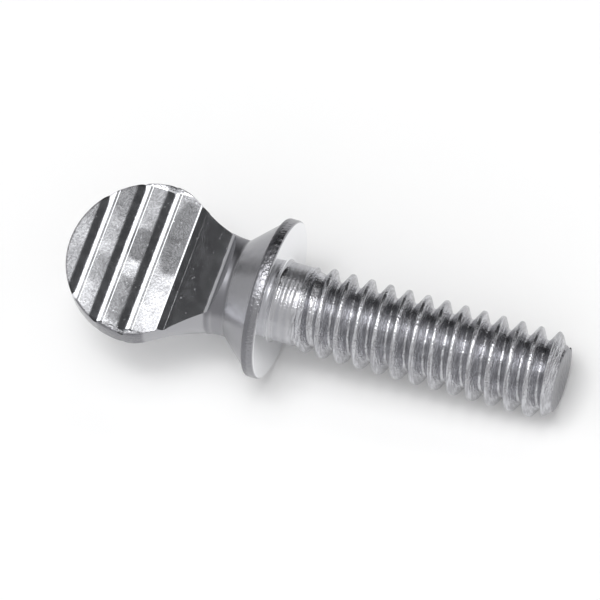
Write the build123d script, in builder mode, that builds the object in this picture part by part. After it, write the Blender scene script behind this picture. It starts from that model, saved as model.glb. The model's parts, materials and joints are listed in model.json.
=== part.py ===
from build123d import *
import os
from math import asin, atan2, cos, degrees, hypot, radians, sin, tan

# Thumb screw: a flat ribbed head for finger and thumb, a round neck that flares into a collar,
# and a No. 10-24 thread 5/8 in long, all cold headed and rolled from one piece of steel wire.
# Millimetres. The screw lies on its collar's rim and the last crest of its thread, tip towards +X,
# with the flat of its head facing up. Along the screw, distances run from the collar's bearing face.

# Thread
thread_pitch = 1.058
thread_diameter = 4.826
thread_depth = 0.62
crest_width = 0.14
flank_angle = 30
shank_length = 15.875
plain_length = 1.25
plain_diameter = 4.38
run_in_length = 1.60
end_diameter = 3.70
end_chamfer_length = 0.93
end_dish_diameter = 2.80
end_dish_depth = 0.14
last_crest_setback = 1.04

# Collar and neck
collar_diameter = 8.80
rim_height = 0.72
rim_chamfer = 0.16
seat_chamfer = 0.26
cone_foot_diameter = 8.36
neck_diameter = 5.34

# Head, seen on its flat: its sides run straight from the shoulders to a corner that the flare rounds
disc_height = 7.48
head_diameter = 9.04
shoulder_radius = 2.30
neck_corner = 3.763
flare_length = 1.387

# Head, seen on its edge
blade_thickness = 1.20
blade_edge_chamfer = 0.16
facet_start = 5.64
facet_start_thickness = 0.86
facet_step_length = 0.18
facet_end = 3.15
facet_end_thickness = 3.00
stop_wall_angle = 67
stop_wall_round = 0.20

# Grooves across both flats of the head
groove_count = 3
groove_pitch = 1.67
groove_depth = 0.20
groove_front_run = 0.37
groove_back_run = 0.34

# How far each cutting shape runs past what it cuts
overrun = 0.50

# Whole turns swept past the thread's own, for its envelope to trim
spare_turns = 2

collar_radius = collar_diameter / 2
head_radius = head_diameter / 2
blade_half = blade_thickness / 2
facet_end_half = facet_end_thickness / 2
crest_radius = thread_diameter / 2
root_radius = crest_radius - thread_depth
envelope_radius = crest_radius + crest_width
plain_radius = plain_diameter / 2
neck_radius = neck_diameter / 2
end_radius = end_diameter / 2
head_height = disc_height + head_radius
last_crest = shank_length - last_crest_setback
run_in_end = plain_length + run_in_length

# The dip of the axis that brings the collar's rim and the last crest down to one level
rest_span = last_crest + crest_width / 2 + rim_chamfer
rest_drop = collar_radius - crest_radius
dip = atan2(rest_drop, rest_span)
towards_tip = Vector(cos(dip), 0, -sin(dip))
head_reach = disc_height * cos(dip) + head_radius
tip_reach = shank_length * cos(dip) + end_radius * sin(dip)
seat_height = collar_radius * cos(dip) - rim_chamfer * sin(dip)
seat = Vector((head_reach - tip_reach) / 2, 0, seat_height)

# Local x runs along the screw to its tip, and local y rises off the flat of the head
edge_view = Plane(origin=seat, x_dir=towards_tip, z_dir=(0, -1, 0))
screw_axis = Axis(seat, towards_tip)

with BuildPart() as screw:
    # One tooth of the right-hand thread, swept along its helix with a crest under the tip at rest
    flank_slope = tan(radians(flank_angle))
    tooth_height = thread_depth + crest_width
    tooth_root = crest_width + 2 * tooth_height * flank_slope
    turns = int((shank_length - plain_length) / thread_pitch) + spare_turns
    helix_start = last_crest + thread_pitch + thread_pitch / 2 - turns * thread_pitch
    helix_centre = seat + towards_tip * helix_start
    tooth_path = Helix(
        pitch=thread_pitch,
        height=turns * thread_pitch,
        radius=crest_radius,
        center=helix_centre,
        direction=towards_tip,
        mode=Mode.PRIVATE,
    )
    path_start = tooth_path @ 0
    with BuildSketch(Plane(origin=path_start, x_dir=path_start - helix_centre, z_dir=tooth_path % 0)):
        with BuildLine():
            Polyline(
                (0, -crest_width / 2),
                (0, crest_width / 2),
                (-tooth_height, tooth_root / 2),
                (-tooth_height, -tooth_root / 2),
                close=True,
            )
        make_face()
    sweep(path=tooth_path, is_frenet=True)

    # The core that the tooth stands on
    with BuildSketch(edge_view):
        with BuildLine():
            Polyline(
                (plain_length - thread_pitch, 0),
                (plain_length - thread_pitch, root_radius),
                (shank_length + thread_pitch, root_radius),
                (shank_length + thread_pitch, 0),
                close=True,
            )
        make_face()
    revolve(axis=screw_axis)

    # What the rolled thread keeps: crests that grow out of the plain shank, and a chamfered end
    with BuildSketch(edge_view):
        with BuildLine():
            Polyline(
                (plain_length, 0),
                (plain_length, plain_radius),
                (run_in_end, envelope_radius),
                (shank_length - end_chamfer_length, envelope_radius),
                (shank_length, end_radius),
                (shank_length, 0),
                close=True,
            )
        make_face()
    revolve(axis=screw_axis, mode=Mode.INTERSECT)

    # The head, neck, collar and plain shank as they are upset, round all over
    shoulder_height = head_radius - shoulder_radius
    corner_run, corner_rise = disc_height - neck_corner, neck_radius - shoulder_height
    corner_distance = hypot(corner_run, corner_rise)
    head_flank = asin(shoulder_radius / corner_distance) - atan2(corner_rise, corner_run)
    flank_turn = degrees(head_flank)
    flank_top = (
        -disc_height + shoulder_radius * sin(head_flank),
        shoulder_height + shoulder_radius * cos(head_flank),
    )
    flare_top = (
        -neck_corner - flare_length * cos(head_flank),
        neck_radius + flare_length * sin(head_flank),
    )
    waist = (-neck_corner + flare_length, neck_radius)
    flare_radius = flare_length / tan(head_flank / 2)
    with BuildSketch(edge_view):
        with BuildLine():
            CenterArc((-disc_height, 0), head_radius, 90, 90)
            CenterArc((-disc_height, shoulder_height), shoulder_radius, 90 - flank_turn, flank_turn)
            Line(flank_top, flare_top)
            flare_centre = (waist[0], neck_radius + flare_radius)
            CenterArc(flare_centre, flare_radius, 270 - flank_turn, flank_turn)
            Polyline(
                waist,
                (-rim_height, cone_foot_diameter / 2),
                (-rim_height, collar_radius),
                (0, collar_radius),
                (0, plain_radius),
                (plain_length, plain_radius),
                (run_in_end, root_radius),
                (run_in_end, 0),
                (-head_height, 0),
            )
        make_face()
        rim_corners = [(-rim_height, collar_radius), (0, collar_radius)]
        chamfer([vertices().sort_by_distance(corner)[0] for corner in rim_corners], rim_chamfer)
        chamfer(vertices().sort_by_distance((0, plain_radius))[0], seat_chamfer)
    revolve(axis=screw_axis)

    # The blade: both faces of the head pressed flat, with its rim eased
    wall_top = head_radius + overrun
    facet_foot = (-facet_start + facet_step_length, facet_start_thickness / 2)
    with BuildSketch(edge_view):
        with BuildLine():
            Polyline(
                (-head_height - overrun, blade_half),
                (facet_foot[0], blade_half),
                (facet_foot[0], wall_top),
                (-head_height - overrun, wall_top),
                close=True,
            )
        make_face()
        mirror(about=Plane.XZ)
    extrude(amount=wall_top, both=True, mode=Mode.SUBTRACT)
    off_the_flat = Axis(seat, edge_view.y_dir)
    flats = screw.faces().filter_by(off_the_flat).sort_by(SortBy.AREA)[-2:]
    chamfer(flats.edges().filter_by(GeomType.LINE, reverse=True), blade_edge_chamfer)

    # The facet that dips below the blade, thickens to the neck and ends at the dies' stop wall
    wall_run = (wall_top - facet_end_half) / tan(radians(stop_wall_angle))
    with BuildSketch(edge_view):
        with BuildLine():
            Polyline(
                (-facet_start - overrun, wall_top),
                (-facet_start, blade_half),
                facet_foot,
                (-facet_end, facet_end_half),
                (-facet_end + wall_run, wall_top),
                close=True,
            )
        make_face()
        fillet(vertices().sort_by_distance((-facet_end, facet_end_half))[0], stop_wall_round)
        mirror(about=Plane.XZ)
    extrude(amount=wall_top, both=True, mode=Mode.SUBTRACT)

    # The grooves, from the middle of the disc outwards
    groove_places = [-disc_height - number * groove_pitch for number in range(groove_count)]
    with BuildSketch(edge_view):
        for place in groove_places:
            with BuildLine():
                Polyline(
                    (place, blade_half - groove_depth),
                    (place + 2 * groove_back_run, blade_half + groove_depth),
                    (place - 2 * groove_front_run, blade_half + groove_depth),
                    close=True,
                )
            make_face()
        mirror(about=Plane.XZ)
    extrude(amount=wall_top, both=True, mode=Mode.SUBTRACT)

    # The shallow dish that shearing leaves in the end
    with BuildSketch(edge_view):
        with BuildLine():
            Polyline(
                (shank_length - end_dish_depth, 0),
                (shank_length, end_dish_diameter / 2),
                (shank_length + end_dish_depth, 0),
                close=True,
            )
        make_face()
    revolve(axis=screw_axis, mode=Mode.SUBTRACT)

os.makedirs("parts", exist_ok=True)
screw.part.label = "thumb_screw"
export_step(screw.part, "parts/thumb_screw.step")
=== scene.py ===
# %% [markdown]
# A thumb screw is one piece of steel. Wire is upset into a head, a neck and a collar, the head is
# pressed flat between two ribbed dies, the thread is rolled, and the whole screw is plated bright. The
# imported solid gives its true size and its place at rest. This lesson models the same screw once more,
# with the rounded edges, the fine shapes and the surface that catch the light on the real one.

import json
from math import asin, atan2, cos, degrees, hypot, pi, radians, sin, tan

import bpy
from mathutils import Euler, Matrix, Vector


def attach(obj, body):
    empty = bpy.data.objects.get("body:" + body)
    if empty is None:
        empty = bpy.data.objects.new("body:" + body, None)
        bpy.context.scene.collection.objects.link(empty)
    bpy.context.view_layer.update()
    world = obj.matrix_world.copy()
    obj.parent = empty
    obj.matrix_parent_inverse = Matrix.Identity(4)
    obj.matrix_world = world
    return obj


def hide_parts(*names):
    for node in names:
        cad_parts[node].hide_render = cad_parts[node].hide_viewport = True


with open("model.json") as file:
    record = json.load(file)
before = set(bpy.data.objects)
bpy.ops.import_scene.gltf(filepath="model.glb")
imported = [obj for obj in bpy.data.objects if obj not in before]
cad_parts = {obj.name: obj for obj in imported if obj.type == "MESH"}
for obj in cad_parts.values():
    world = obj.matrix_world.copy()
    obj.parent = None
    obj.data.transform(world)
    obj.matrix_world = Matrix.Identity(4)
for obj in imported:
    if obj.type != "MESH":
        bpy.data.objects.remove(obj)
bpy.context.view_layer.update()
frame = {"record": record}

# %% [markdown]
# Every form on the screw is either turned about its axis or pressed square to its flat. So it is
# modelled in a frame of its own, in millimetres: x runs along the axis to the tip, z stands off the
# flat of the head, and x is zero on the face of the collar that bears on the work. The solid's seat
# mount lies at that zero and points along the axis, so it says where the screw is laid at the end.

# %% The screw's own frame
MM = 0.001
seat = next(mount for mount in frame["record"]["mounts"] if mount["name"] == "seat")
seat_point = Vector((seat["pos_m"][0], 0, seat["pos_m"][2]))
dip = atan2(-seat["axis"][2], seat["axis"][0])
print("seat at", tuple(seat_point), "and the axis dips by", round(degrees(dip), 3), "degrees")

# %% [markdown]
# A turned or pressed form starts as its outline. In Blender an outline can be drawn the way it is
# drawn on paper: one point is extruded into a straight line, and spun about a centre into an arc. A
# plane merged to its middle gives that first point. These helpers only shorten the operator calls.

# %% Helpers that draw an outline point by point
merge_distance = 0.0005


def start_outline(name, point):
    """A new mesh of one selected vertex, left in edit mode."""
    if bpy.context.mode != "OBJECT":
        bpy.ops.object.mode_set(mode="OBJECT")
    bpy.ops.object.select_all(action="DESELECT")
    bpy.ops.mesh.primitive_plane_add(size=1, location=(0, 0, 0))
    piece = bpy.context.object
    piece.name = piece.data.name = name
    bpy.ops.object.mode_set(mode="EDIT")
    bpy.ops.mesh.merge(type="CENTER")
    bpy.ops.transform.translate(value=point)
    return piece


def lines_to(start, *points):
    """Straight lines from start through the points."""
    at = Vector(start)
    for point in points:
        bpy.ops.mesh.extrude_vertices_move(TRANSFORM_OT_translate={"value": Vector(point) - at})
        at = Vector(point)


def arc(centre, turn, steps):
    """Spins the last point about centre, anticlockwise in degrees as seen down the z axis."""
    bpy.ops.mesh.spin(steps=steps, angle=radians(-turn), center=centre, axis=(0, 0, 1))


def finish_edit(piece):
    """Merges doubled points, turns the faces outwards and leaves edit mode."""
    bpy.ops.mesh.select_all(action="SELECT")
    bpy.ops.mesh.remove_doubles(threshold=merge_distance)
    bpy.ops.mesh.normals_make_consistent(inside=False)
    bpy.ops.object.mode_set(mode="OBJECT")
    print(piece.name, "has", len(piece.data.polygons), "faces")


print("points closer than", merge_distance, "mm are merged")

# %% [markdown]
# Sharp corners are rare on a headed screw, so most corners of an outline are rounded before it becomes
# a surface: a vertex bevel on the wire costs one call and rounds the whole turned or pressed edge. A
# turned form is then that outline spun once about the x axis. Two finished bodies are joined, or one
# is cut from the other, with a Boolean modifier that is applied at once.

# %% Helpers that round, spin and join
same_place = 0.001
corner_segments = 6


def round_corner(piece, corner, offset, segments=corner_segments):
    """Rounds the outline's corner at the given point."""
    bpy.ops.mesh.select_all(action="DESELECT")
    bpy.ops.object.mode_set(mode="OBJECT")
    for vertex in piece.data.vertices:
        vertex.select = (vertex.co - Vector(corner)).length < same_place
    bpy.ops.object.mode_set(mode="EDIT")
    bpy.ops.mesh.bevel(offset=offset, segments=segments, affect="VERTICES")


def spin_round(piece, steps):
    """Spins the whole outline once about the x axis."""
    bpy.ops.mesh.select_all(action="SELECT")
    bpy.ops.mesh.spin(steps=steps, angle=2 * pi, center=(0, 0, 0), axis=(1, 0, 0))
    finish_edit(piece)


def combine(piece, other, operation):
    """Joins other to piece, cuts it away or keeps what they share, and removes other."""
    bpy.ops.object.select_all(action="DESELECT")
    bpy.context.view_layer.objects.active = piece
    piece.select_set(True)
    modifier = piece.modifiers.new(operation.lower(), "BOOLEAN")
    modifier.operation = operation
    modifier.solver = "MANIFOLD"
    modifier.object = other
    bpy.ops.object.modifier_apply(modifier=modifier.name)
    bpy.data.objects.remove(other)
    print(piece.name, "after", operation, "has", len(piece.data.polygons), "faces")


print("rounded corners have", corner_segments, "segments")

# %% [markdown]
# Seen on its flat, the head is a half disc that passes through a small shoulder arc into a straight
# flank, and the flank flares into the round neck. The flank is the line that leaves the shoulder arc
# and aims at the corner where flank and neck would meet, so its angle is worked out and not guessed.

# %% The flank between the disc and the neck
disc_height, head_radius, shoulder_radius = 7.48, 4.52, 2.30
neck_radius, neck_corner, flare_length = 2.67, 3.763, 1.387
shoulder_height = head_radius - shoulder_radius
corner_run, corner_rise = disc_height - neck_corner, neck_radius - shoulder_height
flank_angle = asin(shoulder_radius / hypot(corner_run, corner_rise)) - atan2(corner_rise, corner_run)
flank_top_x = -disc_height + shoulder_radius * sin(flank_angle)
flank_top_y = shoulder_height + shoulder_radius * cos(flank_angle)
flare_top_x = -neck_corner - flare_length * cos(flank_angle)
flare_top_y = neck_radius + flare_length * sin(flank_angle)
flare_radius = flare_length / tan(flank_angle / 2)
waist_x = flare_length - neck_corner


def flank_y(x):
    """Half the head's width at x, on the straight flank."""
    return flank_top_y - (x - flank_top_x) * tan(flank_angle)


print("flank at", round(degrees(flank_angle), 2), "degrees, waist at", round(waist_x, 3))

# %% [markdown]
# The blade is the part that finger and thumb grip: a plate pressed from the round blank. A plate is
# quickest as a filled outline, extruded to its thickness. One half of the outline is drawn, copied and
# flipped, so both sides are alike. The plate starts a little thicker than the finished flats, since
# the dies then press both faces down to their last level.

# %% The blade, a plate as thick as the blank
plate_half, plate_back = 0.70, -5.20
disc_steps, shoulder_steps = 56, 12
blade = start_outline("blade", (-disc_height - head_radius, 0, 0))
arc((-disc_height, 0, 0), -90, disc_steps)
arc((-disc_height, shoulder_height, 0), -degrees(flank_angle), shoulder_steps)
lines_to((flank_top_x, flank_top_y, 0), (plate_back, flank_y(plate_back), 0))
bpy.ops.mesh.select_all(action="SELECT")
bpy.ops.mesh.duplicate()
bpy.ops.transform.resize(value=(1, -1, 1), center_override=(0, 0, 0))
bpy.ops.mesh.select_all(action="SELECT")
bpy.ops.mesh.remove_doubles(threshold=same_place)
bpy.ops.mesh.edge_face_add()
bpy.ops.transform.translate(value=(0, 0, -plate_half))
bpy.ops.mesh.extrude_region_move(TRANSFORM_OT_translate={"value": (0, 0, 2 * plate_half)})
print("plate", 2 * plate_half, "mm thick and", 2 * head_radius, "mm wide")

# %% [markdown]
# The rim of the blade is rounded, because the metal was free to bulge there between the dies. Both
# rims are bevelled at once: every level edge is part of a rim, apart from the cut edge that ends up
# inside the neck.

# %% The rounded rim of the blade
rim_roll = 0.22
bpy.ops.mesh.select_mode(type="EDGE")
bpy.ops.mesh.select_all(action="DESELECT")
bpy.ops.object.mode_set(mode="OBJECT")
for edge in blade.data.edges:
    ends = [blade.data.vertices[index].co for index in edge.vertices]
    is_level = abs(ends[0].z - ends[1].z) < same_place
    edge.select = is_level and min(end.x for end in ends) < plate_back - same_place
bpy.ops.object.mode_set(mode="EDIT")
bpy.ops.mesh.bevel(offset=rim_roll, offset_type="OFFSET", segments=corner_segments, affect="EDGES")
bpy.ops.mesh.select_mode(type="VERT")
finish_edit(blade)

# %% [markdown]
# Neck, cone, collar and plain shank are turned forms, so one outline from the axis and back to it is
# spun about the x axis. The waist, the rim's two corners and the corner under the collar are rounded
# first. The outline starts inside the blade, so that the two bodies join without a gap.

# %% The neck, collar and plain shank, spun about the axis
rim_height, collar_radius, cone_foot_radius = 0.72, 4.40, 4.18
plain_radius, plain_length = 2.19, 1.25
run_in_end, root_radius = 2.85, 1.793
rim_round, seat_round, waist_round = 0.16, 0.26, 0.12
neck_front, flare_steps, turned_steps = -5.60, 10, 160
waist, cone_foot = (waist_x, neck_radius, 0), (-rim_height, cone_foot_radius, 0)
rim_back, rim_front = (-rim_height, collar_radius, 0), (0, collar_radius, 0)
seat_corner, shank_corner = (0, plain_radius, 0), (plain_length, plain_radius, 0)
neck = start_outline("neck", (neck_front, 0, 0))
lines_to((neck_front, 0, 0), (neck_front, flank_y(neck_front), 0), (flare_top_x, flare_top_y, 0))
arc((waist_x, neck_radius + flare_radius, 0), degrees(flank_angle), flare_steps)
lines_to(waist, cone_foot, rim_back, rim_front, seat_corner, shank_corner)
lines_to(shank_corner, (run_in_end, root_radius, 0), (run_in_end, 0, 0))
round_corner(neck, waist, waist_round)
for corner in (rim_back, rim_front):
    round_corner(neck, corner, rim_round)
round_corner(neck, seat_corner, seat_round)
spin_round(neck, turned_steps)
combine(blade, neck, "UNION")

# %% [markdown]
# The dies that press the head are one straight profile across the screw. Each groove in it rolls
# softly down from its land, rises again on a steeper side that looks back to the head's end, and has a
# narrow shelf and one last small rise before the next land. Behind the grooves a thin lip is squeezed
# up, and there the long facet starts. It thickens towards the neck and stops at a steep wall. The
# shape of one groove is written once, from its lowest point, and repeated at the pitch.

# %% The profile of the dies
land_half, groove_pitch, groove_count = 0.60, 1.67, 3
groove_shape = [
    (-0.38, -0.004),
    (-0.31, -0.022),
    (-0.24, -0.052),
    (-0.16, -0.094),
    (0, -0.185),
    (0.37, 0.045),
    (0.49, 0.05),
    (0.55, 0.085),
    (0.61, 0.08),
]
lip_start, lip_top = (-5.80, land_half), (-5.70, 0.662)
facet_foot, facet_end = (-5.355, 0.478), (-3.15, 1.50)
stop_wall_angle = radians(67)
die_top = 5.0
die_end = -disc_height - head_radius - rim_roll
profile = [(die_end, die_top), (die_end, land_half)]
for number in reversed(range(groove_count)):
    bottom = -disc_height - number * groove_pitch
    profile += [(bottom + run, land_half + rise) for run, rise in groove_shape]
wall_run = (die_top - facet_end[1]) / tan(stop_wall_angle)
profile += [lip_start, lip_top, facet_foot, facet_end, (facet_end[0] + wall_run, die_top)]
print("die profile of", len(profile), "points with", groove_count, "grooves")

# %% [markdown]
# Drawn once from the side, extruded right across and copied to the other face, the profile cuts all of
# the lands, grooves and facets in one stroke on each side, exactly as the real tool does. Cutting each
# groove by itself would give the same shape with many more steps.

# %% Press both flats
die_reach = 5.2
stop_round, foot_round = 0.16, 0.04
points = [(x, -die_reach, z) for x, z in profile]
upper_die = start_outline("upper_die", points[0])
lines_to(*points)
round_corner(upper_die, (facet_end[0], -die_reach, facet_end[1]), stop_round)
round_corner(upper_die, (facet_foot[0], -die_reach, facet_foot[1]), foot_round)
bpy.ops.mesh.select_all(action="SELECT")
bpy.ops.mesh.edge_face_add()
bpy.ops.mesh.extrude_region_move(TRANSFORM_OT_translate={"value": (0, 2 * die_reach, 0)})
finish_edit(upper_die)
bpy.ops.object.duplicate()
lower_die = bpy.context.object
bpy.ops.object.mode_set(mode="EDIT")
bpy.ops.mesh.select_all(action="SELECT")
bpy.ops.transform.resize(value=(1, 1, -1), center_override=(0, 0, 0))
finish_edit(lower_die)
for die in (upper_die, lower_die):
    combine(blade, die, "DIFFERENCE")

# %% [markdown]
# The thread is a real right-hand helix, and a bump pattern could not give its saw-tooth outline. One
# tooth is drawn as a V with a narrow crest, its corners are rounded as thread rolling leaves them, and
# the Screw modifier winds it along the shank. The winding starts with its crest to the side and comes
# to the underside a quarter of a pitch further on, so the first crest is placed to bring a crest right
# under the tip, where the screw touches the table.

# %% One tooth, wound into the thread
thread_pitch, crest_radius, crest_width = 1.058, 2.413, 0.19
tooth_flank, tooth_round, tooth_segments = radians(30), 0.07, 4
shank_length, last_crest_setback = 15.875, 1.04
turns, steps_in_a_turn = 17, 96
last_crest = shank_length - last_crest_setback
first_crest = last_crest + thread_pitch / 4 - (turns - 1) * thread_pitch
tooth_foot = crest_width / 2 + (crest_radius - root_radius) * tan(tooth_flank)
tooth = [
    (first_crest - thread_pitch / 2, root_radius, 0),
    (first_crest - tooth_foot, root_radius, 0),
    (first_crest - crest_width / 2, crest_radius, 0),
    (first_crest + crest_width / 2, crest_radius, 0),
    (first_crest + tooth_foot, root_radius, 0),
    (first_crest + thread_pitch / 2, root_radius, 0),
]
thread = start_outline("thread", tooth[0])
lines_to(*tooth)
for corner in tooth[1:-1]:
    round_corner(thread, corner, tooth_round, tooth_segments)
bpy.ops.object.mode_set(mode="OBJECT")
winding = thread.modifiers.new("winding", "SCREW")
winding.axis = "X"
winding.angle = 2 * pi
winding.screw_offset = thread_pitch
winding.iterations = turns
winding.steps = winding.render_steps = steps_in_a_turn
bpy.ops.object.modifier_apply(modifier=winding.name)
print("thread wound over", len(thread.data.polygons), "faces")

# %% [markdown]
# The wound tooth is an open skin. Before it can be trimmed it has to be a closed body, so the ragged
# loop at each end is extruded and drawn together to one point on the axis, well past what is kept.

# %% Close both ends of the thread
past_the_end = 2 * thread_pitch
bpy.ops.object.mode_set(mode="EDIT")
bpy.ops.mesh.select_all(action="SELECT")
bpy.ops.mesh.remove_doubles(threshold=merge_distance)
for side, end_x in ((-1, first_crest - past_the_end), (1, shank_length + past_the_end)):
    bpy.ops.mesh.select_all(action="DESELECT")
    bpy.ops.mesh.select_non_manifold(
        use_wire=False,
        use_multi_face=False,
        use_non_contiguous=False,
        use_verts=False,
    )
    bpy.ops.object.mode_set(mode="OBJECT")
    for vertex in thread.data.vertices:
        vertex.select = vertex.select and (vertex.co.x - shank_length / 2) * side > 0
    for edge in thread.data.edges:
        edge.select = edge.select and all(thread.data.vertices[index].select for index in edge.vertices)
    bpy.ops.object.mode_set(mode="EDIT")
    bpy.ops.mesh.extrude_edges_move(TRANSFORM_OT_translate={"value": (0, 0, 0)})
    bpy.ops.transform.resize(value=(0, 0, 0), center_override=(end_x, 0, 0))
    bpy.ops.mesh.remove_doubles(threshold=merge_distance)
finish_edit(thread)

# %% [markdown]
# On the real screw the crests grow out of the plain shank where the rolling starts, and the end is
# chamfered, with the shallow dish that shearing leaves. One turned envelope holds all three, and what
# the wound thread and the envelope share is the finished thread. It reaches a little way into the
# plain shank, which is a hair thicker, so no two skins lie in one place when the bodies are joined.

# %% Trim the thread and join it to the head
envelope_start, envelope_radius, inside_shank = 1.0, crest_radius + crest_width, 0.02
end_radius, end_chamfer, end_round = 1.77, 0.93, 0.08
dish_radius, dish_depth = 1.40, 0.14
envelope_steps = 96
end_corner = (shank_length, end_radius, 0)
envelope = start_outline("envelope", (envelope_start, 0, 0))
lines_to(
    (envelope_start, 0, 0),
    (envelope_start, plain_radius - inside_shank, 0),
    (plain_length, plain_radius - inside_shank, 0),
    (run_in_end, envelope_radius, 0),
    (shank_length - end_chamfer, envelope_radius, 0),
    end_corner,
    (shank_length, dish_radius, 0),
    (shank_length - dish_depth, 0, 0),
)
round_corner(envelope, end_corner, end_round)
spin_round(envelope, envelope_steps)
combine(thread, envelope, "INTERSECT")
combine(blade, thread, "UNION")
screw = blade
screw.name = screw.data.name = "screw"

# %% [markdown]
# Plated edges are crisp and plated rounds are smooth. Smooth shading up to an angle gives both: faces
# that meet at less than the angle share a normal, and sharper edges stay edges. Then the screw is
# brought to metres and laid down at its rest, and its place is applied to the mesh, so that the object
# itself stays at the origin.

# %% Shade the screw and lay it down
smooth_angle = radians(18)
bpy.ops.object.select_all(action="DESELECT")
bpy.context.view_layer.objects.active = screw
screw.select_set(True)
bpy.ops.object.shade_smooth_by_angle(angle=smooth_angle)
screw.matrix_world = Matrix.LocRotScale(seat_point, Euler((0, dip, 0)), Vector((MM, MM, MM)))
bpy.ops.object.transform_apply(location=True, rotation=True, scale=True)
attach(screw, "root")
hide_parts("thumb_screw")
print("screw has", sum(len(face.vertices) - 2 for face in screw.data.polygons), "triangles")

# %% [markdown]
# The materials that follow are built from nodes, and a node tree is long to write out by hand. These
# helpers add one node each, feed it with plain values or with other nodes, and hand back its output.
# The one used most is the fade, a soft step from one place to another along any measure.

# %% Helpers that add nodes
def node(tree, kind, **settings):
    """A new node with its settings."""
    made = tree.nodes.new(kind)
    for name, value in settings.items():
        setattr(made, name, value)
    return made


def feed(tree, socket, value):
    """Links an output to the socket, or sets a plain value on it."""
    if isinstance(value, bpy.types.NodeSocket):
        tree.links.new(value, socket)
    else:
        socket.default_value = value


def maths(tree, operation, first, second=0.0):
    """One sum or function of numbers."""
    made = node(tree, "ShaderNodeMath", operation=operation)
    feed(tree, made.inputs[0], first)
    feed(tree, made.inputs[1], second)
    return made.outputs[0]


def vector_maths(tree, operation, first, second=(0, 0, 0), output="Vector"):
    """One sum or function of vectors."""
    made = node(tree, "ShaderNodeVectorMath", operation=operation)
    feed(tree, made.inputs[0], first)
    feed(tree, made.inputs[1], second)
    return made.outputs[output]


def times(tree, *factors):
    """The product of the factors."""
    result = factors[0]
    for factor in factors[1:]:
        result = maths(tree, "MULTIPLY", result, factor)
    return result


def total(tree, *values):
    """The sum of the values."""
    result = values[0]
    for value in values[1:]:
        result = maths(tree, "ADD", result, value)
    return result


def fade(tree, value, ends, levels=(0.0, 1.0)):
    """The first level where the value is at the first end, the second at the second, smooth between."""
    made = node(tree, "ShaderNodeMapRange", interpolation_type="SMOOTHSTEP")
    feed(tree, made.inputs["Value"], value)
    made.inputs["From Min"].default_value, made.inputs["From Max"].default_value = ends
    made.inputs["To Min"].default_value, made.inputs["To Max"].default_value = levels
    return made.outputs["Result"]


print("a fade takes two ends and two levels")

# %% [markdown]
# Colour needs two more helpers: cloudy noise, and a ramp from one tone to the next.

# %% Helpers for noise and colour
def noise(tree, vector, scale, detail, rough=0.5):
    """Cloudy noise between nothing and one, the scale being patches in each unit of length."""
    made = node(tree, "ShaderNodeTexNoise")
    feed(tree, made.inputs["Vector"], vector)
    made.inputs["Scale"].default_value = scale
    made.inputs["Detail"].default_value = detail
    made.inputs["Roughness"].default_value = rough
    return made.outputs["Fac"]


def ramp(tree, value, *stops):
    """A colour ramp, each stop a place and a colour."""
    made = node(tree, "ShaderNodeValToRGB")
    feed(tree, made.inputs["Fac"], value)
    elements = made.color_ramp.elements
    while len(elements) < len(stops):
        elements.new(1.0)
    for element, (position, colour) in zip(elements, stops):
        element.position = position
        element.color = (*colour, 1)
    return made.outputs["Color"]


print("noise on the screw is measured in patches to the millimetre")

# %% [markdown]
# The plating is one thin bright skin, but each forming step left its own surface under it: pressed
# lands, a rolled thread, an upset collar, a sheared end. One material can hold them all if it knows
# where it is. So object coordinates are turned back by the dip and divided by a thousandth, which
# gives the screw's own millimetres again, and every surface becomes a simple range of length or radius.

# %% The screw's own measures in the material
plating = bpy.data.materials.new("bright_plating")
plating.use_nodes = True
plate = plating.node_tree
plate_shader = plate.nodes["Principled BSDF"]
own_frame = node(plate, "ShaderNodeMapping", vector_type="TEXTURE")
own_frame.inputs["Location"].default_value = seat_point
own_frame.inputs["Rotation"].default_value = (0, dip, 0)
own_frame.inputs["Scale"].default_value = (MM, MM, MM)
plate.links.new(node(plate, "ShaderNodeTexCoord").outputs["Object"], own_frame.inputs["Vector"])
place = own_frame.outputs["Vector"]
split_place = node(plate, "ShaderNodeSeparateXYZ")
plate.links.new(place, split_place.inputs["Vector"])
along, across, off_flat = (split_place.outputs[name] for name in "XYZ")
height = maths(plate, "ABSOLUTE", off_flat)
radius = vector_maths(plate, "LENGTH", vector_maths(plate, "MULTIPLY", place, (0, 1, 1)), output="Value")
off_flat_way = (sin(dip), 0, cos(dip))
true_normal = node(plate, "ShaderNodeNewGeometry").outputs["True Normal"]
level = maths(plate, "ABSOLUTE", vector_maths(plate, "DOT_PRODUCT", true_normal, off_flat_way, "Value"))
tipward_way = (cos(dip), 0, -sin(dip))
tipward = vector_maths(plate, "DOT_PRODUCT", true_normal, tipward_way, "Value")
print("the flat looks along", [round(part, 4) for part in off_flat_way])

# %% [markdown]
# Now the surfaces themselves. Those on the shank and the collar are ranges along the axis. Those on the
# head need the way a face looks as well: the lands look straight off the flat, the walls of the grooves
# lean, and the sides of the head look away from it. The collar's bearing face looks towards the tip.
# Each range fades over a short way, so no seam shows.

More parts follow.
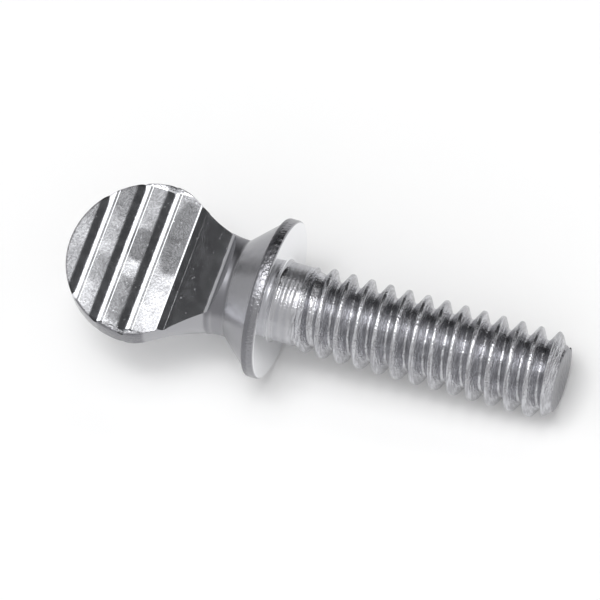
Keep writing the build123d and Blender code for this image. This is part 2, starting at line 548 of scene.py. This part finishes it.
# %% Where each surface lies
shank_begins, end_begins, end_skin = (0.05, 0.30), (15.55, 15.70), (1.86, 1.72)
rings_begin, rings_end, thread_begins = (0.20, 0.35), (1.70, 1.20), (0.90, 1.50)
collar_skin, collar_front = (4.18, 4.32), (0.0, -0.10)
neck_begins, neck_ends = (-3.25, -2.90), (-0.30, -0.60)
stop_begins, stop_ends, stop_height = (-3.50, -3.30), (-2.20, -2.45), (1.0, 1.8)
flats_end, walls_end, facets_end = (-5.50, -5.70), (-5.90, -6.10), (-3.0, -3.4)
land_level, side_level = (0.93, 0.97), (0.84, 0.70)
wall_level_most, wall_level_least = (0.93, 0.90), (0.80, 0.83)
round_begins, seat_ends, seat_level = (-3.5, -3.1), (0.10, 0.02), (0.80, 0.95)
on_shank = fade(plate, along, shank_begins)
on_end = times(plate, fade(plate, along, end_begins), fade(plate, radius, end_skin))
on_rolled = times(plate, fade(plate, along, thread_begins), maths(plate, "SUBTRACT", 1.0, on_end))
on_rings = times(plate, fade(plate, along, rings_begin), fade(plate, along, rings_end))
on_collar = times(plate, fade(plate, radius, collar_skin), fade(plate, along, collar_front))
on_neck = times(plate, fade(plate, along, neck_begins), fade(plate, along, neck_ends))
on_stop = times(plate, fade(plate, along, stop_begins), fade(plate, along, stop_ends))
on_head = fade(plate, along, facets_end)
on_lands = times(plate, fade(plate, along, flats_end), fade(plate, level, land_level))
on_side = times(plate, on_head, fade(plate, level, side_level))
on_walls = times(
    plate,
    fade(plate, along, walls_end),
    fade(plate, level, wall_level_most),
    fade(plate, level, wall_level_least),
)
on_seat = times(plate, fade(plate, tipward, seat_level), fade(plate, along, seat_ends))
on_round = times(plate, fade(plate, along, round_begins), maths(plate, "SUBTRACT", 1.0, on_seat))
print("nodes that find the surfaces:", len(plate.nodes))

# %% [markdown]
# The marks of the tools are far too small to model. A fine grain lies under most of the plating. The
# flats are pressed in long low waves. Rolling drew the shank's skin round it in streaks, so that noise
# is stretched along the way round. Near the collar the wire kept faint rings, the facets have a few
# raised specks, the collar's edge is dented, and shearing left lines across the end.

# %% The patterns of the marks
grain_scale, wave_scale, dent_scale, speck_scale, speck_peaks = 9.0, 0.55, 6.0, 7.0, (0.80, 0.85)
grain = noise(plate, place, grain_scale, detail=1.0)
waves = noise(plate, place, wave_scale, detail=1.0)
dents = noise(plate, place, dent_scale, detail=2.0)
specks = fade(plate, noise(plate, place, speck_scale, detail=0.0), speck_peaks)
streaks_along, streaks_around = 9.0, 3.0
rolled = node(plate, "ShaderNodeCombineXYZ")
feed(plate, rolled.inputs["X"], times(plate, along, streaks_along))
feed(plate, rolled.inputs["Y"], times(plate, maths(plate, "ARCTAN2", across, off_flat), streaks_around))
feed(plate, rolled.inputs["Z"], times(plate, radius, streaks_along))
streaks = noise(plate, rolled.outputs["Vector"], scale=1.0, detail=3.0, rough=0.6)
ring_pitch = 0.45
rings = maths(plate, "SINE", times(plate, along, 2 * pi / ring_pitch))
shear_stretch = (0, 7.0, 1.2)
sheared = vector_maths(plate, "MULTIPLY", place, shear_stretch)
shear_lines = noise(plate, sheared, scale=1.0, detail=2.0)
print("rings", ring_pitch, "mm apart, streaks", streaks_along, "to the millimetre")

# %% [markdown]
# Each pattern gets a height in millimetres and the surface where it belongs, and their sum goes into
# one Bump node. The outline of the screw is geometry already, so the bump only has to bend reflections.

# %% The relief under the plating
land_grain, land_waves, wall_grain, side_grain = 0.0010, 0.020, 0.004, 0.014
shank_grain, shank_streaks, ring_height = 0.026, 0.032, 0.022
dent_depth, speck_height, shear_depth = 0.050, 0.002, 0.12
relief = total(
    plate,
    times(plate, grain, land_grain, on_lands),
    times(plate, waves, land_waves, on_lands),
    times(plate, grain, wall_grain, on_walls),
    times(plate, grain, side_grain, on_side),
    times(plate, grain, shank_grain, on_shank),
    times(plate, streaks, shank_streaks, on_rolled),
    times(plate, rings, ring_height, on_rings),
    times(plate, dents, dent_depth, on_collar),
    times(plate, specks, speck_height, on_head),
    times(plate, shear_lines, shear_depth, on_end),
)
bump = node(plate, "ShaderNodeBump")
bump.inputs["Distance"].default_value = MM
feed(plate, bump.inputs["Height"], relief)
print("tallest mark on the flats", land_waves, "mm")

# %% [markdown]
# A pressed land is never quite flat. Here and there it leans by a degree or two, and a bright surface
# shows that at once: one patch mirrors a lamp and the next something dark. Such patches could be cut
# into the mesh, but they are only hundredths of a millimetre deep. So each is an oval on the upper flat
# that adds a small lean across the screw to the normal.

# %% The lean of the lands
patch_level, patch_depth = 0.6, 0.9
patch_edge = (1.15, 0.75)
patches = [
    ((-6.10, -2.30), (0.80, 1.90), 0.010),
    ((-6.25, 1.60), (0.80, 2.20), -0.050),
    ((-8.20, 0.70), (0.70, 0.95), -0.055),
    ((-8.20, -0.80), (0.60, 0.50), 0.016),
    ((-8.15, -2.70), (0.70, 1.40), -0.030),
    ((-9.85, -1.20), (0.70, 0.90), -0.012),
    ((-9.80, 3.00), (0.60, 1.20), -0.022),
    ((-11.2, -1.00), (0.60, 1.00), -0.010),
    ((-11.2, 2.20), (0.60, 0.90), -0.012),
]


def patch(middle, half, lean):
    """The given lean inside an oval on the upper flat, nothing outside it."""
    offset = vector_maths(plate, "SUBTRACT", place, (*middle, patch_level))
    share = vector_maths(plate, "DIVIDE", offset, (*half, patch_depth))
    reach = vector_maths(plate, "LENGTH", share, output="Value")
    return fade(plate, reach, patch_edge, (0.0, lean))


lean = times(plate, total(plate, *(patch(*each) for each in patches)), on_lands)
leaning = node(plate, "ShaderNodeCombineXYZ")
feed(plate, leaning.inputs["Y"], times(plate, lean, -1.0))
leaned = vector_maths(plate, "ADD", bump.outputs["Normal"], leaning.outputs["Vector"])
feed(plate, plate_shader.inputs["Normal"], vector_maths(plate, "NORMALIZE", leaned))
steepest = max(abs(each[2]) for each in patches)
print(len(patches), "patches lean by up to", round(degrees(steepest), 1), "degrees")

# %% [markdown]
# Bright plating is palest where the dies pressed the steel smooth. The bearing face of the collar is
# painted paler still, a painted reflection: it mirrors floor that lies in the screw's shadow, and the
# paler colour brings that back to white. The upset and rolled skin of the neck, the cone and the shank
# is greyer, and so are the sides of the head. The flats are stained and finely speckled, the shank is
# dull in its streaks and fresh between them, and the sheared end got less plating. The rim of the disc
# is painted darker, a painted shade that draws its outline, and the collar's rim is darker too. On top
# and underneath, the waist behind the stop wall is painted darker, a painted shade that dims the
# lamp's reflection there. All of that, dullness and painted light alike, is one measure, and a ramp
# turns it into colour.

# %% The plating's colour
fresh_plating, plain_plating = (0.95, 0.955, 0.97), (0.80, 0.81, 0.84)
grey_plating, dull_plating = (0.42, 0.42, 0.44), (0.20, 0.20, 0.215)
plain_dullness, grey_dullness = 0.25, 0.75
stained, speckled, streaked = (0.0, 0.25), (0.0, 0.28), (-0.16, 0.11)
# The bearing face is painted paler than its plating. This painted reflection brings the shadowed floor it
# mirrors back to white.
round_dullness, side_dullness, seat_painted_reflection = 0.46, 0.56, -0.20
# The rim of the disc is painted darker all round. This painted shade draws a dark outline where the rim
# meets the white.
end_dullness, edge_painted_shade, collar_dullness = 0.18, 0.45, 0.22
# The waist behind the stop wall is painted darker on top and underneath. This painted shade dims the
# lamp's reflection there.
waist_painted_shade, neck_dullness = 0.20, 0.17
edge_skin, edge_end = (4.36, 4.48), (-6.9, -7.1)
stain_scale, stain_fade = 1.6, (0.55, 0.30)
speckle_scale, speckle_fade, streak_fade = 9.0, (0.60, 0.40), (0.64, 0.40)
stain = noise(plate, place, stain_scale, detail=4.0, rough=0.65)
speckle = noise(plate, place, speckle_scale, detail=2.0, rough=0.6)
from_middle = vector_maths(plate, "SUBTRACT", place, (-disc_height, 0, 0))
on_disc = vector_maths(plate, "MULTIPLY", from_middle, (1, 1, 0))
disc_reach = vector_maths(plate, "LENGTH", on_disc, output="Value")
rim_for_painted_outline = times(plate, fade(plate, disc_reach, edge_skin), fade(plate, along, edge_end))
dullness_and_painted_light = total(
    plate,
    times(plate, fade(plate, stain, stain_fade, stained), on_lands),
    times(plate, fade(plate, speckle, speckle_fade, speckled), on_lands),
    times(plate, fade(plate, streaks, streak_fade, streaked), on_rolled),
    times(plate, on_round, round_dullness),
    times(plate, on_neck, neck_dullness),
    times(plate, on_collar, collar_dullness),
    times(plate, on_side, side_dullness),
    # painted reflection: the bearing face made paler
    times(plate, on_seat, seat_painted_reflection),
    times(plate, on_end, end_dullness),
    # painted shade: a dark outline along the rim of the disc
    times(plate, rim_for_painted_outline, edge_painted_shade),
    # painted shade: the waist behind the stop wall, top and underneath
    times(plate, on_stop, fade(plate, height, stop_height), waist_painted_shade),
    plain_dullness,
)
colour = ramp(
    plate,
    dullness_and_painted_light,
    (0.0, fresh_plating),
    (plain_dullness, plain_plating),
    (grey_dullness, grey_plating),
    (1.0, dull_plating),
)
feed(plate, plate_shader.inputs["Base Color"], colour)
print("plating from", fresh_plating, "to", dull_plating)

# %% [markdown]
# Gloss follows the tools as well. The facets kept the polish of the dies, the lands and the neck are a
# little rougher, and the rolled shank is satin. Metal is metal everywhere, so that is one plain value.

# %% The plating's gloss
polish_fade, polish = (0.30, 0.70), (0.16, 0.10)
land_rough, neck_rough, stop_rough = 0.08, 0.11, 0.22
shank_rough, ring_rough, end_rough, collar_rough = 0.11, 0.08, 0.08, 0.10
roughness = total(
    plate,
    fade(plate, stain, polish_fade, polish),
    times(plate, on_lands, land_rough),
    times(plate, on_neck, neck_rough),
    times(plate, on_stop, stop_rough),
    times(plate, on_collar, collar_rough),
    times(plate, on_shank, shank_rough),
    times(plate, on_rings, ring_rough),
    times(plate, on_end, end_rough),
)
feed(plate, plate_shader.inputs["Roughness"], roughness)
plate_shader.inputs["Metallic"].default_value = 1.0
screw.data.materials.clear()
screw.data.materials.append(plating)
print("plating has", len(plate.nodes), "nodes")

# %% [markdown]
# The screw lies on a plain white floor that takes its shadow. Polished metal shows little but what stands
# round it, and with white on all sides it would lose its shape. So a product photographer hangs a dark
# cloth just outside the picture. Here it hangs behind the floor: the facets, one side of each groove and
# the back of the thread mirror it, while everything that looks down or to the front mirrors white. Floor
# and cloth are plain planes of one colour each.

# %% The floor and a dark cloth behind it
floor_size, cloth_width, cloth_height, stage_rough = 1.2, 4.8, 1.8, 0.9
floor_white, cloth_dark = (0.98, 0.98, 0.98), (0.03, 0.03, 0.032)


def stage_plane(name, width, depth, colour):
    """A plane of the stage, at the origin and painted with one colour."""
    bpy.ops.object.select_all(action="DESELECT")
    bpy.ops.mesh.primitive_plane_add(size=1, location=(0, 0, 0))
    made = bpy.context.object
    made.name = name
    bpy.ops.transform.resize(value=(width, depth, 1))
    bpy.ops.object.transform_apply(location=False, rotation=False, scale=True)
    paint = bpy.data.materials.new(name + "_paint")
    paint.use_nodes = True
    shader = paint.node_tree.nodes["Principled BSDF"]
    shader.inputs["Base Color"].default_value = (*colour, 1)
    shader.inputs["Roughness"].default_value = stage_rough
    made.data.materials.append(paint)
    print(name, width, "by", depth, "m")
    return made


stage_plane("floor", floor_size, floor_size, floor_white)
cloth = stage_plane("cloth", cloth_width, cloth_height, cloth_dark)
cloth.rotation_euler = (pi / 2, 0, 0)
cloth.location = (0, floor_size / 2, cloth_height / 2)

# %% [markdown]
# The camera looks down on the screw from the front and a little from the tip's side, and is rolled so
# that the screw falls to the right. It stands ten picture widths off with a long lens, because a small
# part photographed for a catalogue shows almost no perspective.

# %% The camera
to_camera = Vector((0.3278, -0.3490, 0.8779)).normalized()
view_roll = radians(-26.74)
view_distance, frame_width, sensor_width = 0.300, 0.03219, 36
right_of_seat, above_seat = 1.0515 * MM, 0.0215 * MM
level_right = Vector((0, 0, 1)).cross(to_camera).normalized()
level_up = to_camera.cross(level_right)
right = level_right * cos(view_roll) + level_up * sin(view_roll)
up = to_camera.cross(right)
target = seat_point + right * right_of_seat + up * above_seat
camera = bpy.data.objects.new("camera", bpy.data.cameras.new("camera"))
bpy.context.scene.collection.objects.link(camera)
camera.data.sensor_width = sensor_width
camera.data.lens = sensor_width * view_distance / frame_width
stand = Matrix.Translation(target + to_camera * view_distance)
camera.matrix_world = stand @ Matrix((right, up, to_camera)).transposed().to_4x4()
bpy.context.scene.camera = camera
print("lens of", round(camera.data.lens, 1), "mm at", view_distance, "m")

# %% [markdown]
# Five soft lamps light the screw. The wide one overhead lies just where the lands mirror its edge, with
# the dark cloth beyond it, which is why small leans show so clearly. A narrow strip under it brightens
# the line of light along the thread, and a strip in front of the cloth catches the thread's upper side.
# The strip on the left is mirrored by the back walls of the grooves, and the strip on the right by the
# chamfer at the tip and the edge of the collar.

# %% The lamps
def softbox(name, aim, distance, width, depth, watts):
    """An area lamp that faces the seat from the given direction, its depth running front to back."""
    lamp = bpy.data.lights.new(name, "AREA")
    lamp.shape = "RECTANGLE"
    lamp.size, lamp.size_y, lamp.energy = width, depth, watts
    made = bpy.data.objects.new(name, lamp)
    bpy.context.scene.collection.objects.link(made)
    out = Vector(aim).normalized()
    side = Vector((0, 1, 0)).cross(out).normalized()
    turn = Matrix((side, out.cross(side), out)).transposed().to_4x4()
    made.matrix_world = Matrix.Translation(seat_point + out * distance) @ turn
    print(name, "gives", watts, "W from", width, "by", depth, "m")


lamps = {
    "overhead": dict(aim=(0.02, -0.02, 0.99), distance=0.50, width=0.26, depth=0.34, watts=0.64),
    "top_strip": dict(aim=(0.02, -0.06, 0.99), distance=0.49, width=0.26, depth=0.10, watts=0.46),
    "back_strip": dict(aim=(0.15, 0.62, 0.76), distance=0.55, width=0.40, depth=0.12, watts=0.25),
    "left_strip": dict(aim=(-0.87, 0.40, 0.30), distance=0.50, width=0.12, depth=0.19, watts=0.12),
    "right_strip": dict(aim=(0.87, 0.35, 0.33), distance=0.50, width=0.14, depth=0.24, watts=0.12),
}
for lamp_name, settings in lamps.items():
    softbox(lamp_name, **settings)

# %% [markdown]
# Round the floor and the cloth the world is plain white, like the inside of a light tent. Its strength is
# a little under one, since the lamps add their share and the two together bring the floor to white. It is
# the same for the camera, the floor and the metal, so the colours render about as they are written.

# %% The room
room_white, room_strength = (1, 1, 1, 1), 0.8
room = bpy.data.worlds.new("room")
bpy.context.scene.world = room
room.use_nodes = True
background = room.node_tree.nodes["Background"]
background.inputs["Color"].default_value = room_white
background.inputs["Strength"].default_value = room_strength
bpy.context.scene.view_settings.view_transform = "Standard"
print("room of strength", room_strength)
